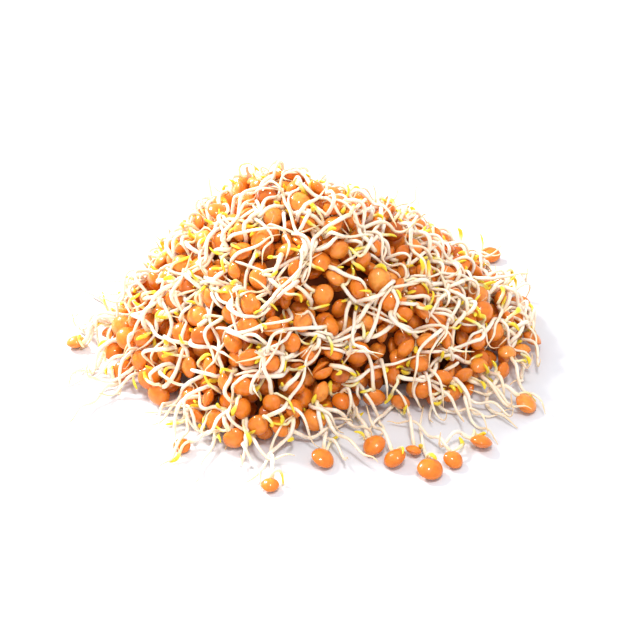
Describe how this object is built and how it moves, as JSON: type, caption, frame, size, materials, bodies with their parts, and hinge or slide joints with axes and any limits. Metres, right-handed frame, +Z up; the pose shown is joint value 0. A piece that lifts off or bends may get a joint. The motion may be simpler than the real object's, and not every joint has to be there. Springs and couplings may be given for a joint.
{
  "type": "heap of lentil sprouts",
  "caption": "Loose heap of sprouted lentils that rests on a table: plump seeds, each with a pale curling root and a small yellow shoot.",
  "frame": {"origin": "on the table, under the middle of the heap as it is seen from above", "axes": "+Z up from the table; +X along the heap's longest side, to the right as seen from the front; -Y towards the front"},
  "size_m": [0.1389, 0.13, 0.0562],
  "materials": {
    "seed_coat": "wet, smooth",
    "root_flesh": "wet, smooth"
  },
  "bodies": {
    "root": {"edge_sprout_01_root": "root_flesh", "edge_sprout_01_seed": "seed_coat", "edge_sprout_02_root": "root_flesh", "edge_sprout_02_seed": "seed_coat", "edge_sprout_03_root": "root_flesh", "edge_sprout_03_seed": "seed_coat", "edge_sprout_04_root": "root_flesh", "edge_sprout_04_seed": "seed_coat", "edge_sprout_05_root": "root_flesh", "edge_sprout_05_seed": "seed_coat", "edge_sprout_06_root": "root_flesh", "edge_sprout_06_seed": "seed_coat", "edge_sprout_07_root": "root_flesh", "edge_sprout_07_seed": "seed_coat", "edge_sprout_08_root": "root_flesh", "edge_sprout_08_seed": "seed_coat", "edge_sprout_09_root": "root_flesh", "edge_sprout_09_seed": "seed_coat", "edge_sprout_10_root": "root_flesh", "edge_sprout_10_seed": "seed_coat", "edge_sprout_11_root": "root_flesh", "edge_sprout_11_seed": "seed_coat", "edge_sprout_12_root": "root_flesh", "edge_sprout_12_seed": "seed_coat", "edge_sprout_13_root": "root_flesh", "edge_sprout_13_seed": "seed_coat", "edge_sprout_14_root": "root_flesh", "edge_sprout_14_seed": "seed_coat", "root_tangle": "root_flesh", "seed_heap": "seed_coat"}
  },
  "joints": []
}
